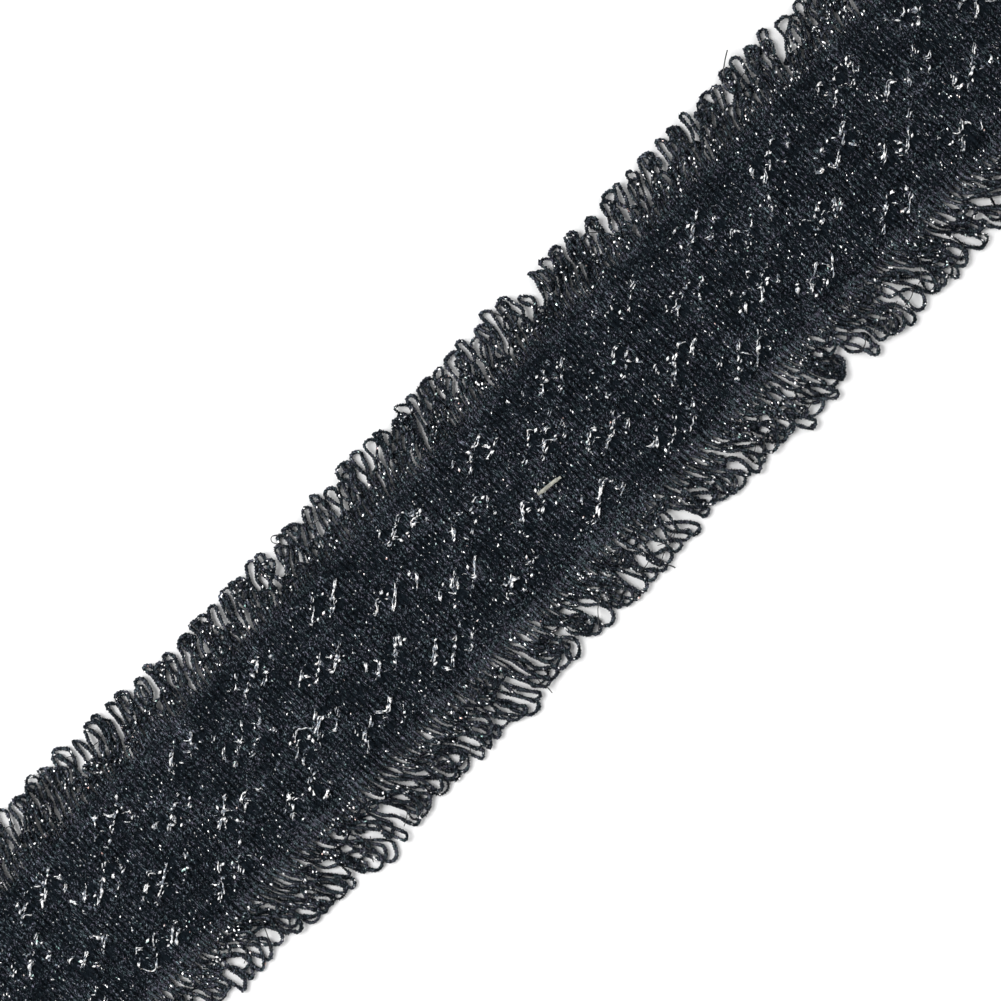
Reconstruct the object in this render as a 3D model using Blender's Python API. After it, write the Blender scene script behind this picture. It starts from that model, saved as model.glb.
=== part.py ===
"""Woven braid trim with a looped fringe along both edges, lying flat.

The trim runs along X. Its weft yarn crosses the band along Y and turns in a free
loop past each edge, and small silver motifs stand in four rows on the band.
+Z is up and the underside lies in the plane Z = 0.
"""

import math
import random

import bmesh
import bpy

MM = 0.001

# The weft ribs. The solid raises one ridge for every two ribs of yarn.
RIB_COUNT = 240
RIB_PITCH = 1.03125 * MM
LENGTH = RIB_COUNT * RIB_PITCH
RIBS_PER_RIDGE = 2
RIBS_PER_LOOP = 2

# Heights of the band above the surface that it lies on
BAND_TOP = 1.25 * MM
BAND_EDGE_TOP = 1.05 * MM
RIDGE_RISE = 0.16 * MM
MOTIF_RISE = 0.36 * MM
HOLLOW_DEPTH = 0.12 * MM

# The silver motifs, 16 ribs from one to the next in their row
MOTIF_PERIOD = 16 * RIB_PITCH
MOTIF_HALF_LENGTH = 4.6 * MM
HOLLOW_LENGTH = 1.8 * MM
MOTIF_ROWS = (
    # place across the band, then one motif's place along it
    {"across": 10.2 * MM, "along": 3.0 * MM},
    {"across": 3.65 * MM, "along": -5.25 * MM},
    {"across": -2.9 * MM, "along": 3.0 * MM},
    {"across": -9.1 * MM, "along": -5.25 * MM},
)

# The fringe: a strip beside each edge of the band, and the loops that leave it
EDGE_GAP = 0.35 * MM
STRIP_WIDTH = 1.0 * MM
STRIP_HEIGHT = 1.2 * MM
RIBS_PER_STRIP_BLOCK = 8
STRAND_WIDTH = 0.60 * MM
STRAND_HEIGHT = 0.60 * MM
LOWER_LAYER = 0.0
UPPER_LAYER = 0.86 * MM
NECK_REACH = 2.2 * MM
HEAD_TURN = math.radians(22)
HEAD_HALF_WIDTH = (0.80 * MM, 1.10 * MM)
SHORTEST_LOOP = 0.86
LEAN_SPREAD = math.radians(1.4)
BEND_SPREAD = 0.22 * MM
FRINGES = {
    "loop_fringe_upper": {"side": 1, "lean": math.radians(17), "seed": 11},
    "loop_fringe_lower": {"side": -1, "lean": math.radians(29), "seed": 23},
}

# The uneven outline: one row for each section along the trim
SECTION_COLUMNS = ("along", "upper_edge", "lower_edge", "upper_tips", "lower_tips")
SECTIONS_MM = (
    (-124, 13.7, 14.0, 24.2, 23.8),
    (-93, 13.8, 14.0, 24.4, 24.2),
    (-62, 13.9, 14.1, 23.1, 26.0),
    (-31, 14.0, 14.3, 23.5, 26.0),
    (0, 14.1, 14.4, 24.4, 24.4),
    (31, 14.5, 14.3, 24.3, 24.7),
    (62, 15.0, 14.2, 24.7, 25.0),
    (93, 15.0, 14.2, 24.9, 26.0),
    (124, 14.9, 14.2, 24.6, 25.4),
)

YARN_COLOUR = (0.020, 0.024, 0.030, 1.0)
YARN_ROUGHNESS = 0.55
YARN_METALLIC = 0.2


def clear_scene():
    for obj in list(bpy.data.objects):
        bpy.data.objects.remove(obj, do_unlink=True)


def make_material(name, colour, roughness, metallic):
    material = bpy.data.materials.new(name)
    material.use_nodes = True
    shader = material.node_tree.nodes["Principled BSDF"]
    shader.inputs["Base Color"].default_value = colour
    shader.inputs["Roughness"].default_value = roughness
    shader.inputs["Metallic"].default_value = metallic
    return material


def smoothstep(t):
    t = min(max(t, 0.0), 1.0)
    return t * t * (3 - 2 * t)


def outline(column, x):
    """A section's value at x, eased from one row of the table to the next."""
    place = SECTION_COLUMNS.index(column)
    rows = [[value * MM for value in row] for row in SECTIONS_MM]
    for before, after in zip(rows, rows[1:]):
        if x <= after[0]:
            break
    share = smoothstep((x - before[0]) / (after[0] - before[0]))
    return before[place] + (after[place] - before[place]) * share


def rib_x(rib):
    return rib * RIB_PITCH - LENGTH / 2


def motif_relief(x, row):
    """Height that a row of motifs adds at x: a low mound, with a hollow past each end."""
    turns = (x - row["along"]) / MOTIF_PERIOD
    away = abs(turns - round(turns)) * MOTIF_PERIOD
    if away < MOTIF_HALF_LENGTH:
        return MOTIF_RISE * math.sqrt(1 - (away / MOTIF_HALF_LENGTH) ** 2)
    if away < MOTIF_HALF_LENGTH + HOLLOW_LENGTH:
        return -HOLLOW_DEPTH
    return 0.0


def band_line_heights(x, ridge):
    """(place across, height) along one line over the band, from its lower to its upper edge."""
    rows = sorted(MOTIF_ROWS, key=lambda row: row["across"])
    line = [(-outline("lower_edge", x), BAND_EDGE_TOP + ridge)]
    for row, following in zip(rows, rows[1:] + [None]):
        line.append((row["across"], BAND_TOP + ridge + motif_relief(x, row)))
        if following:
            between = (row["across"] + following["across"]) / 2
            line.append((between, BAND_TOP + ridge))
    line.append((outline("upper_edge", x), BAND_EDGE_TOP + ridge))
    return line


def add_object(name, shape, material):
    bmesh.ops.recalc_face_normals(shape, faces=shape.faces)
    mesh = bpy.data.meshes.new(name)
    shape.to_mesh(mesh)
    shape.free()
    mesh.materials.append(material)
    obj = bpy.data.objects.new(name, mesh)
    bpy.context.scene.collection.objects.link(obj)
    return obj


def make_band(material):
    """The band: a flat underside, and ridges and motifs in the points of its top."""
    shape = bmesh.new()
    lines = []
    for rib in range(RIB_COUNT + 1):
        x = rib_x(rib)
        ridge = RIDGE_RISE if rib % RIBS_PER_RIDGE else 0.0
        heights = band_line_heights(x, ridge)
        top = [shape.verts.new((x, y, z)) for y, z in heights]
        under = [shape.verts.new((x, heights[i][0], 0.0)) for i in (0, -1)]
        lines.append({"top": top, "under": under})
    for line, following in zip(lines, lines[1:]):
        for here, there in zip(
            zip(line["top"], line["top"][1:]), zip(following["top"], following["top"][1:])
        ):
            shape.faces.new((here[0], there[0], there[1], here[1]))
        for under, top in ((0, 0), (1, -1)):
            shape.faces.new(
                (line["under"][under], following["under"][under], following["top"][top], line["top"][top])
            )
        shape.faces.new(line["under"] + following["under"][::-1])
    for line in (lines[0], lines[-1]):
        shape.faces.new(line["top"] + line["under"][::-1])
    return add_object("woven_band", shape, material)


def strand_ring(shape, centre, sideways, base):
    """Three points around a strand: two on its flat underside and one on its crest."""
    half = STRAND_WIDTH / 2
    x, y = centre
    return [
        shape.verts.new((x - sideways[0] * half, y - sideways[1] * half, base)),
        shape.verts.new((x + sideways[0] * half, y + sideways[1] * half, base)),
        shape.verts.new((x, y, base + STRAND_HEIGHT)),
    ]


def join_root(shape, root, ring):
    """Faces from a root's four corners to a strand's first ring."""
    low_a, low_b, high_b, high_a = root
    shape.faces.new((low_a, low_b, ring[1], ring[0]))
    shape.faces.new((low_b, high_b, ring[2], ring[1]))
    shape.faces.new((high_a, low_a, ring[0], ring[2]))
    shape.faces.new((high_b, high_a, ring[2]))


def join_rings(shape, ring, following):
    for i in range(3):
        j = (i + 1) % 3
        shape.faces.new((ring[i], ring[j], following[j], following[i]))


def add_loop(shape, roots, start, side, reach, base, lean, draw):
    """One loop of yarn, out along a leg, round its head and back beside itself."""
    angle = lean + draw.uniform(-1, 1) * LEAN_SPREAD
    bend = draw.uniform(-1, 1) * BEND_SPREAD
    half_neck = RIB_PITCH / 2 * math.cos(angle)
    half_head = draw.uniform(*HEAD_HALF_WIDTH)
    length = reach / math.cos(angle)
    turned_in, turned_down = math.cos(HEAD_TURN), math.sin(HEAD_TURN)
    # place across the loop and outward along it, then the way across the strand there
    route = (
        {"across": -half_neck, "outward": NECK_REACH, "way": (1.0, 0.0)},
        {"across": -half_head, "outward": length - half_head, "way": (turned_in, -turned_down)},
        {"across": 0.0, "outward": length, "way": (0.0, -1.0)},
        {"across": half_head, "outward": length - half_head, "way": (-turned_in, -turned_down)},
        {"across": half_neck, "outward": NECK_REACH, "way": (-1.0, 0.0)},
    )

    def leaned(across, outward):
        return (
            across * math.cos(angle) + outward * math.sin(angle),
            side * (outward * math.cos(angle) - across * math.sin(angle)),
        )

    rings = []
    for stop in route:
        across = stop["across"] + bend * (stop["outward"] / length) ** 2
        x, y = leaned(across, stop["outward"])
        rings.append(strand_ring(shape, (start[0] + x, start[1] + y), leaned(*stop["way"]), base))
    join_root(shape, roots[0], rings[0])
    for ring, following in zip(rings, rings[1:]):
        join_rings(shape, ring, following)
    last = rings[-1]
    join_root(shape, roots[1], [last[1], last[0], last[2]])


def make_fringe(name, plan, material):
    """A strip beside one edge of the band, with a row of loops in two layers."""
    shape = bmesh.new()
    side = plan["side"]
    word = "upper" if side > 0 else "lower"
    draw = random.Random(plan["seed"])
    inner, outer = [], []
    for rib in range(RIB_COUNT + 1):
        x = rib_x(rib)
        edge = outline(word + "_edge", x) + EDGE_GAP
        if rib % RIBS_PER_STRIP_BLOCK == 0:
            inner.append([shape.verts.new((x, side * edge, z)) for z in (0.0, STRIP_HEIGHT)])
        y = side * (edge + STRIP_WIDTH)
        outer.append([shape.verts.new((x, y, z)) for z in (0.0, STRIP_HEIGHT)])
    for block, (here, there) in enumerate(zip(inner, inner[1:])):
        first = block * RIBS_PER_STRIP_BLOCK
        row = outer[first : first + RIBS_PER_STRIP_BLOCK + 1]
        for level in (0, 1):
            shape.faces.new([here[level]] + [point[level] for point in row] + [there[level]])
        shape.faces.new((here[0], there[0], there[1], here[1]))
    for end in (0, -1):
        shape.faces.new((inner[end][0], inner[end][1], outer[end][1], outer[end][0]))

    for loop, rib in enumerate(range(0, RIB_COUNT, RIBS_PER_LOOP)):
        middle = rib_x(rib + 1)
        start = outline(word + "_edge", middle) + EDGE_GAP + STRIP_WIDTH
        longest = outline(word + "_tips", middle) - start - STRAND_WIDTH / 2
        reach = longest * draw.uniform(SHORTEST_LOOP, 1.0)
        corners = [outer[rib + step] for step in (0, 1, 2)]
        roots = [
            (here[0], there[0], there[1], here[1]) for here, there in zip(corners, corners[1:])
        ]
        base = UPPER_LAYER if loop % 2 else LOWER_LAYER
        add_loop(shape, roots, (middle, side * start), side, reach, base, plan["lean"], draw)
    return add_object(name, shape, material)


def centre_on_origin(objects):
    """Moves the trim so that the box around it is centred over the origin."""
    for axis in (0, 1):
        values = [vertex.co[axis] for obj in objects for vertex in obj.data.vertices]
        middle = (min(values) + max(values)) / 2
        for obj in objects:
            obj.location[axis] = -middle


def main():
    clear_scene()
    band_yarn = make_material("band_yarn", YARN_COLOUR, YARN_ROUGHNESS, YARN_METALLIC)
    loop_yarn = make_material("loop_yarn", YARN_COLOUR, YARN_ROUGHNESS, YARN_METALLIC)
    objects = [make_band(band_yarn)]
    for name, plan in FRINGES.items():
        objects.append(make_fringe(name, plan, loop_yarn))
    centre_on_origin(objects)


main()
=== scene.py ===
"""Woven braid trim with a looped fringe: its yarn, silver motifs, fringe and stage."""

import math

import bpy
import numpy as np
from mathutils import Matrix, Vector


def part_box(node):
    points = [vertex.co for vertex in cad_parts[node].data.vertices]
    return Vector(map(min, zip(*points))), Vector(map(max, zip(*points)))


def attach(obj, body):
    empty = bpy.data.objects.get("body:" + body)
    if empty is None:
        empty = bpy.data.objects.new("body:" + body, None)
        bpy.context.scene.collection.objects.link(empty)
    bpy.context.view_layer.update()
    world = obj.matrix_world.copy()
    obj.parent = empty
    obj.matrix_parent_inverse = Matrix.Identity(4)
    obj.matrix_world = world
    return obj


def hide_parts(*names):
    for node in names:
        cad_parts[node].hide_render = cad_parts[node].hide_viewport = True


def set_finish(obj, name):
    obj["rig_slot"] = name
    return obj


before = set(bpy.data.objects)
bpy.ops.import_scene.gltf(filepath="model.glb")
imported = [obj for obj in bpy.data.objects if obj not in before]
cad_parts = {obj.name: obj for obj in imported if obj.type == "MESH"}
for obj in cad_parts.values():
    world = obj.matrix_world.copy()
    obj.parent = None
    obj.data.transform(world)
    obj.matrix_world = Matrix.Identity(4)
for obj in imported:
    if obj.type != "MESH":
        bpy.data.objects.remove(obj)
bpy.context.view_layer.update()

bl_info = {
    "name": "Woven Braid Trim",
    "version": (1, 0, 0),
    "blender": (4, 5, 0),
    "location": "View3D > Sidebar > Braid Trim",
    "description": "Dresses a length of woven braid trim with yarn, silver motifs and a looped fringe",
    "category": "Object",
}

MM = 0.001
BODY = "root"

# The weave, with the same driving sizes as the solids
RIB_COUNT = 240
RIBS_PER_LOOP = 2
RIBS_PER_MOTIF = 16
SECTION_COLUMNS = ("along", "upper_edge", "lower_edge", "upper_tips", "lower_tips")
SECTIONS = MM * np.array(
    (
        (-124, 13.7, 14.0, 24.2, 23.8),
        (-93, 13.8, 14.0, 24.4, 24.2),
        (-62, 13.9, 14.1, 23.1, 26.0),
        (-31, 14.0, 14.3, 23.5, 26.0),
        (0, 14.1, 14.4, 24.4, 24.4),
        (31, 14.5, 14.3, 24.3, 24.7),
        (62, 15.0, 14.2, 24.7, 25.0),
        (93, 15.0, 14.2, 24.9, 26.0),
        (124, 14.9, 14.2, 24.6, 25.4),
    )
)
MOTIF_ROWS = (
    {"across": 9.75 * MM, "along": 2.7 * MM},
    {"across": 3.5 * MM, "along": -5.55 * MM},
    {"across": -2.9 * MM, "along": 2.7 * MM},
    {"across": -9.5 * MM, "along": -5.55 * MM},
)
# What each fringe does. side: the edge it is on. lean: how far it leans. curl: how much its
# loops curl over, as a share of their length. crossed: the share of them whose legs cross.
# bunch, stray: how far strands gather and stray. farther: how much farther it reaches than
# its solid. belly, head: least and most half width of a loop there. yarn: thickness at a
# loop's foot and head as a share of the usual. arches: whether loops gather in arches. seed:
# of its differences
FRINGES = {
    "upper": {
        "side": 1, "lean": math.radians(26), "curl": -0.05, "crossed": 0.35,
        "bunch": 0.55 * MM, "stray": 0.24 * MM, "farther": -0.05 * MM,
        "belly": (0.25 * MM, 0.80 * MM), "head": (0.65 * MM, 1.05 * MM),
        "yarn": (0.88, 1.06), "arches": True, "seed": 41,
    },
    "lower": {
        "side": -1, "lean": math.radians(29), "curl": 0.0, "crossed": 0.40,
        "bunch": 0.85 * MM, "stray": 0.30 * MM, "farther": -0.30 * MM,
        "belly": (0.30 * MM, 1.20 * MM), "head": (0.60 * MM, 1.60 * MM),
        "yarn": (0.90, 1.06), "arches": False, "seed": 53,
    },
}
FRINGE_NODE = {"upper": "loop_fringe_upper", "lower": "loop_fringe_lower"}
# Height of the rib yarns' centre line above the table
RIB_HEIGHT = 0.85 * MM
# Height above the table that nothing goes under
LOWEST = 0.03 * MM

# The trim's own origin, on the centre line of the band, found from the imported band
BAND_LOW, BAND_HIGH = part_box("woven_band")
LENGTH = BAND_HIGH[0] - BAND_LOW[0]
RIB_PITCH = LENGTH / RIB_COUNT
MOTIF_PERIOD = RIBS_PER_MOTIF * RIB_PITCH
WIDEST_UPPER_EDGE = SECTIONS[:, 1].max()
TRIM_ORIGIN = ((BAND_LOW[0] + BAND_HIGH[0]) / 2, BAND_HIGH[1] - WIDEST_UPPER_EDGE, 0.0)

# Names of mesh attributes. The first tells how much of its film the yarn shows: 0 is the
# usual share, 1 is the most and -1 is next to none. It also holds painted light on the
# crowns of the ribs and painted shade between them. The second tells how far the film runs
# straight along the rib, from 0 to 1, and the third where in its yarn a point is
FILM_AND_PAINTED_LIGHT = "film_and_painted_light"
STRAIGHT_FILM = "straight_film"
YARN_PLACE = "yarn_place"

# Slow random drift along yarns and threads, and from loop to loop: how many values are
# drawn from end to end, and their spread
DRIFTS = {
    "yarn_turn": (24, 0.6),
    "yarn_thickness": (30, 0.13),
    "rib_across": (17, 0.11 * MM),
    "rib_height": (18, 0.07 * MM),
    "loop_to_loop": (34, 1.0),
    "loop": (18, 0.055 * MM),
    "silver_across": (22, 0.06 * MM),
    "silver_bare": (14, 0.62),
    "silver_apart": (14, 0.7),
    "silver_strip": (20, 0.45),
    "silver_roll": (12, 0.7),
    "silver_width": (24, 0.56),
}

UP = np.array((0.0, 0.0, 1.0))
TURN = 2 * math.pi


def hex_colour(text):
    """Linear RGBA from an sRGB hex value."""
    parts = [int(text[i : i + 2], 16) / 255 for i in (1, 3, 5)]
    linear = [v / 12.92 if v <= 0.04045 else ((v + 0.055) / 1.055) ** 2.4 for v in parts]
    return (*linear, 1.0)


def smoothstep(t):
    t = np.clip(t, 0.0, 1.0)
    return t * t * (3 - 2 * t)


def outline(column, x):
    """A section's value at each x, eased from one row of the table to the next."""
    x = np.asarray(x, dtype=float)
    place = SECTION_COLUMNS.index(column)
    stations = SECTIONS[:, 0]
    row = np.clip(np.searchsorted(stations, x) - 1, 0, len(stations) - 2)
    share = smoothstep((x - stations[row]) / (stations[row + 1] - stations[row]))
    return SECTIONS[row, place] * (1 - share) + SECTIONS[row + 1, place] * share


def rib_x(rib):
    """Where ribs stand along the trim; a whole number is the line between two ribs."""
    return np.asarray(rib) * RIB_PITCH - LENGTH / 2


def drift(draw, kind, count, rings):
    """Slow random drift along each of several yarns, eased between a few drawn values."""
    knots, spread = DRIFTS[kind]
    values = draw.normal(0.0, spread, (count, knots))
    place = np.linspace(0, knots - 1, rings)
    low = np.minimum(place.astype(int), knots - 2)
    share = smoothstep(place - low)
    return values[:, low] * (1 - share) + values[:, low + 1] * share


def unit(vectors):
    return vectors / np.maximum(np.linalg.norm(vectors, axis=-1, keepdims=True), 1e-12)


def aimed(angle, first, second):
    """The direction at that angle from the first, on the way to the second."""
    return np.cos(angle) * first + np.sin(angle) * second


def lengths_so_far(centres):
    """Length along each line of points, from its start to each of them."""
    steps = np.linalg.norm(np.diff(centres, axis=1), axis=2)
    return np.concatenate([np.zeros((len(centres), 1)), np.cumsum(steps, axis=1)], axis=1)


def yarn_frames(centres):
    """Directions along, sideways and upward at each ring of each yarn."""
    along = unit(np.gradient(centres, axis=1))
    sideways = unit(np.cross(along, UP))
    return along, sideways, np.cross(sideways, along)


# Reach of the oval section's corners: two plies side by side, then the waist between them
OVAL = (1.0, 0.68, 1.0, 0.68)
# Spread of the roughness of the section, as a share of its reach
ROUGHNESS = 0.05
# Share of the plies' turn that the fibres lag behind, and how far apart yarns are kept in
# the pattern of the film, so that no two look alike
FIBRE_TURN = 0.72
YARN_APART = 23 * MM


def twisted_yarns(centres, draw, thickness, twist):
    """Ring points of two-ply yarns, whose oval section turns with the twist, and places.

    centres is (yarns, rings, 3), and both results are (yarns, rings, sides, 3). A place is
    where a point is in its own yarn: across, along and across it again. Its directions
    across turn more slowly than the plies, as the fibres in them do.
    """
    _, sideways, upward = yarn_frames(centres)
    run = lengths_so_far(centres)
    count, rings = run.shape
    start = draw.uniform(0, TURN, (count, 1)) + drift(draw, "yarn_turn", count, rings)
    thick = thickness / 2 * (1 + drift(draw, "yarn_thickness", count, rings))
    number = np.arange(count)[:, None]
    corners = []
    places = []
    for side, share in enumerate(OVAL):
        rough = 1 + draw.normal(0.0, ROUGHNESS, (count, rings))
        angle = start - TURN * run / twist + TURN * side / len(OVAL)
        reach = share * thick * rough
        corners.append(centres + aimed(angle[..., None], sideways, upward) * reach[..., None])
        angle = angle + TURN * run / twist * FIBRE_TURN
        spot = [reach * np.cos(angle), run + number * YARN_APART, reach * np.sin(angle)]
        places.append(np.stack(spot, axis=-1))
    return np.stack(corners, axis=2), np.stack(places, axis=2)


def flat_strips(centres, width, thickness, roll):
    """Ring points of flat strips, four corners a ring.

    Width and roll are one number, or one for each ring of each strip.
    """
    along, sideways, upward = yarn_frames(centres)
    flat = aimed(np.asarray(roll)[..., None], sideways, upward)
    wide = flat * np.asarray(width)[..., None] / 2
    thin = np.cross(flat, along) * thickness / 2
    corners = (wide - thin, wide + thin, thin - wide, -wide - thin)
    return np.stack([centres + corner for corner in corners], axis=2)


class Bundle:
    """Points and faces of many small closed shapes, gathered for one joined mesh."""

    def __init__(self):
        self.points = []
        self.places = []
        self.faces = []
        self.count = 0

    def add_tubes(self, rings, places=None):
        """rings is (tubes, rings, sides, 3); both ends are closed by a face."""
        tubes, length, sides = rings.shape[:3]
        index = self.count + np.arange(tubes * length * sides).reshape(tubes, length, sides)
        turned = np.roll(index, -1, axis=2)
        walls = [index[:, :-1], index[:, 1:], turned[:, 1:], turned[:, :-1]]
        self.faces.append(np.stack(walls, axis=-1).reshape(-1, 4))
        self.faces.append(index[:, 0].reshape(-1, sides))
        self.faces.append(index[:, -1, ::-1].reshape(-1, sides))
        self.add_points(rings, places)

    def add_slivers(self, middles, long_way, wide_way, thin_way):
        """Eight-sided slivers, pointed along each of their three directions."""
        ways = (long_way, wide_way, thin_way)
        points = np.stack([middles + sign * way for way in ways for sign in (1, -1)], axis=1)
        corner = self.count + np.arange(len(middles))[:, None] * 6
        for a, b, c in (
            (0, 2, 4), (2, 1, 4), (1, 3, 4), (3, 0, 4),
            (2, 0, 5), (1, 2, 5), (3, 1, 5), (0, 3, 5),
        ):
            self.faces.append(np.concatenate([corner + a, corner + b, corner + c], axis=1))
        self.add_points(points)

    def add_points(self, points, places=None):
        """Adds points; what would go under the table is pressed flat on it."""
        flat = points.reshape(-1, 3)
        flat[:, 2] = np.maximum(flat[:, 2], LOWEST)
        self.points.append(flat)
        self.places.append(flat if places is None else places.reshape(-1, 3))
        self.count += len(flat)

    def make_piece(self, name, slot, surface, smooth=True, banded=False):
        """Joins the mesh, rides it on the trim and names the slot it takes its finish from.

        A banded piece also has the attributes that the film of its yarn needs, with the painted
        light on the crowns of its ribs and the painted shade between them.
        """
        points = np.concatenate(self.points).astype(np.float32)
        corners = np.concatenate([block.ravel() for block in self.faces])
        sizes = np.concatenate([np.full(len(block), block.shape[1]) for block in self.faces])
        mesh = bpy.data.meshes.new(name)
        mesh.vertices.add(len(points))
        mesh.vertices.foreach_set("co", points.ravel())
        mesh.loops.add(len(corners))
        mesh.loops.foreach_set("vertex_index", corners.astype(np.int32))
        mesh.polygons.add(len(sizes))
        mesh.polygons.foreach_set("loop_start", (np.cumsum(sizes) - sizes).astype(np.int32))
        mesh.update(calc_edges=True)
        mesh.polygons.foreach_set("use_smooth", np.full(len(sizes), smooth))
        mesh.materials.append(material_of(surface))
        if banded:
            places = np.concatenate(self.places).astype(np.float32)
            attribute = mesh.attributes.new(YARN_PLACE, "FLOAT_VECTOR", "POINT")
            attribute.data.foreach_set("vector", places.ravel())
            shares = film_shares(points[:, 0], points[:, 1])
            for label, values in zip((FILM_AND_PAINTED_LIGHT, STRAIGHT_FILM), shares):
                attribute = mesh.attributes.new(label, "FLOAT", "POINT")
                attribute.data.foreach_set("value", values.astype(np.float32))
        obj = bpy.data.objects.new(name, mesh)
        obj.location = TRIM_ORIGIN
        bpy.context.scene.collection.objects.link(obj)
        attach(obj, BODY)
        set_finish(obj, slot)
        return obj


def socket_in_use(sockets, name):
    """The socket of that number, or the one of that name that the node's settings leave on."""
    if isinstance(name, int):
        return sockets[name]
    return next(socket for socket in sockets if socket.name == name and socket.enabled)


def add_node(tree, kind, output, inputs=None, stops=(), **settings):
    """Adds a node with its settings and colour stops, and gives the output of that name.

    Each of its inputs is set to a value, or linked to the output of another node.
    """
    node = tree.nodes.new("ShaderNode" + kind)
    for name, value in settings.items():
        setattr(node, name, value)
    for name, value in (inputs or {}).items():
        socket = socket_in_use(node.inputs, name)
        if isinstance(value, bpy.types.NodeSocket):
            tree.links.new(value, socket)
        else:
            socket.default_value = value
    for _ in stops[2:]:
        node.color_ramp.elements.new(0.5)
    for number, (position, colour) in enumerate(stops):
        node.color_ramp.elements[number].position = position
        node.color_ramp.elements[number].color = colour
    return socket_in_use(node.outputs, output) if output else node


def material_of(surface):
    """The material named as its surface function, made the first time that it is asked for.

    The function adds the nodes and gives the inputs of a Principled shader. What is the same
    all over the surface is set on the shader itself.
    """
    material = bpy.data.materials.get(surface.__name__)
    if material is None:
        material = bpy.data.materials.new(surface.__name__)
        material.use_nodes = True
        tree = material.node_tree
        tree.nodes.clear()
        inputs = surface(tree, bpy.context.scene.braid_trim_colours)
        shader = add_node(tree, "BsdfPrincipled", "BSDF", inputs)
        add_node(tree, "OutputMaterial", None, {"Surface": shader})
    return material


def mottled_colour(tree, size, detail, *stops):
    """A colour that drifts through its stops, in soft patches about size metres across."""
    where = add_node(tree, "TexCoord", "Object")
    patches = {"Vector": where, "Scale": 1 / size, "Detail": detail}
    patches = add_node(tree, "TexNoise", "Fac", patches)
    return add_node(tree, "ValToRGB", "Color", {"Fac": patches}, stops)


# The film shows where its noise passes from the first level to the second. Patches of the
# yarn and bands of the weave, with the painted light on the crowns of the ribs and the
# painted shade between them, shift the noise by up to these amounts
FILM_FROM = 0.59
FILM_FULL = 0.79
FILM_CLOUD = 0.14
FILM_BAND = 0.10
# How much a full share of film shifts the fibres' own mottling. Where there is no film they
# lie smooth and even
FIBRE_BAND = -0.12
# How far the streaks of film slant from the way the rib runs
RIB_SLANT = math.radians(25)
# Length of the slanted streaks against their width, and of the straight ones, which is more
# in the ribs than in the loops
SLANTED_STRETCH = 2.0
RIB_STRETCH = 5.0
LOOP_STRETCH = 2.6


def twisted_yarn(tree, colours, slant, stretch):
    """Black viscose twisted with a fine gunmetal film.

    The fibres are dull and soft, so the yarn is near black with a slight sheen. The film
    inside each ply comes up as short streaks along the yarn, grey with a breath of violet
    or green. They are under 0.1 mm on the real yarn and are drawn 0.15 to 0.2 mm wide to
    show.
    """
    where = add_node(tree, "TexCoord", "Object")
    place_in_yarn = add_node(tree, "Attribute", "Vector", attribute_name=YARN_PLACE)
    # How much film the yarn shows, with the painted light on the crowns of the ribs and the painted
    # shade between them
    share = add_node(tree, "Attribute", "Fac", attribute_name=FILM_AND_PAINTED_LIGHT)
    straight = add_node(tree, "Attribute", "Fac", attribute_name=STRAIGHT_FILM)
    directions = []
    for turn, longer in (((0.0, 0.0, -slant), SLANTED_STRETCH), ((0.0, 0.0, 0.0), stretch)):
        inputs = {"Vector": place_in_yarn, "Rotation": turn, "Scale": (1.0, longer, 1.0)}
        directions.append(add_node(tree, "Mapping", "Vector", inputs, vector_type="TEXTURE"))
    along_yarn, along_rib = directions
    # Each pattern's directions, size, detail and roughness. The fibres are about 0.02 mm
    # thick, so their shade and relief are drawn in coarser bundles to show
    noise = {}
    for name, vector, size, detail, rough in (
        ("slanted", along_yarn, 0.20 * MM, 1.0, 0.5),
        ("straight", along_rib, 0.15 * MM, 1.0, 0.5),
        ("cloud", where, 5.0 * MM, 1.0, 0.5),
        ("shade", along_yarn, 0.35 * MM, 2.0, 0.6),
        ("relief", along_yarn, 0.16 * MM, 2.0, 0.6),
    ):
        inputs = {"Vector": vector, "Scale": 1 / size, "Detail": detail, "Roughness": rough}
        noise[name] = add_node(tree, "TexNoise", "Fac", inputs)
    inputs = {"Factor": straight, "A": noise["slanted"], "B": noise["straight"]}
    streaks = add_node(tree, "Mix", "Result", inputs, data_type="FLOAT")
    shade = {0: share, 1: FIBRE_BAND, 2: noise["shade"]}
    shade = add_node(tree, "Math", "Value", shade, operation="MULTIPLY_ADD")
    mask = streaks
    for by, amount in ((noise["cloud"], FILM_CLOUD), (share, FILM_BAND)):
        mask = {0: by, 1: amount, 2: mask}
        mask = add_node(tree, "Math", "Value", mask, operation="MULTIPLY_ADD")
    stops = ((0.35, colours.yarn_dark), (0.62, colours.yarn_mid))
    fibres = add_node(tree, "ValToRGB", "Color", {"Fac": shade}, stops)
    film = mottled_colour(
        tree,
        0.7 * MM,
        1.0,
        (0.36, colours.film_green),
        (0.50, colours.yarn_film),
        (0.64, colours.film_violet),
    )
    inputs = {"Value": mask, "From Min": FILM_FROM, "From Max": FILM_FULL}
    shown = add_node(tree, "MapRange", "Result", inputs, interpolation_type="SMOOTHSTEP")
    inputs = {"Factor": shown, "A": fibres, "B": film}
    colour = add_node(tree, "Mix", "Result", inputs, data_type="RGBA")
    relief = {"Strength": 0.9, "Distance": 0.09 * MM, "Height": noise["relief"]}
    return {
        "Base Color": colour,
        "Metallic": shown,
        "Normal": add_node(tree, "Bump", "Normal", relief),
        "Roughness": 0.42,
        "Sheen Weight": 0.01,
        "Sheen Roughness": 0.4,
        "Specular IOR Level": 0.05,
        "Specular Tint": hex_colour("#CBDDF6"),
    }


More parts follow.
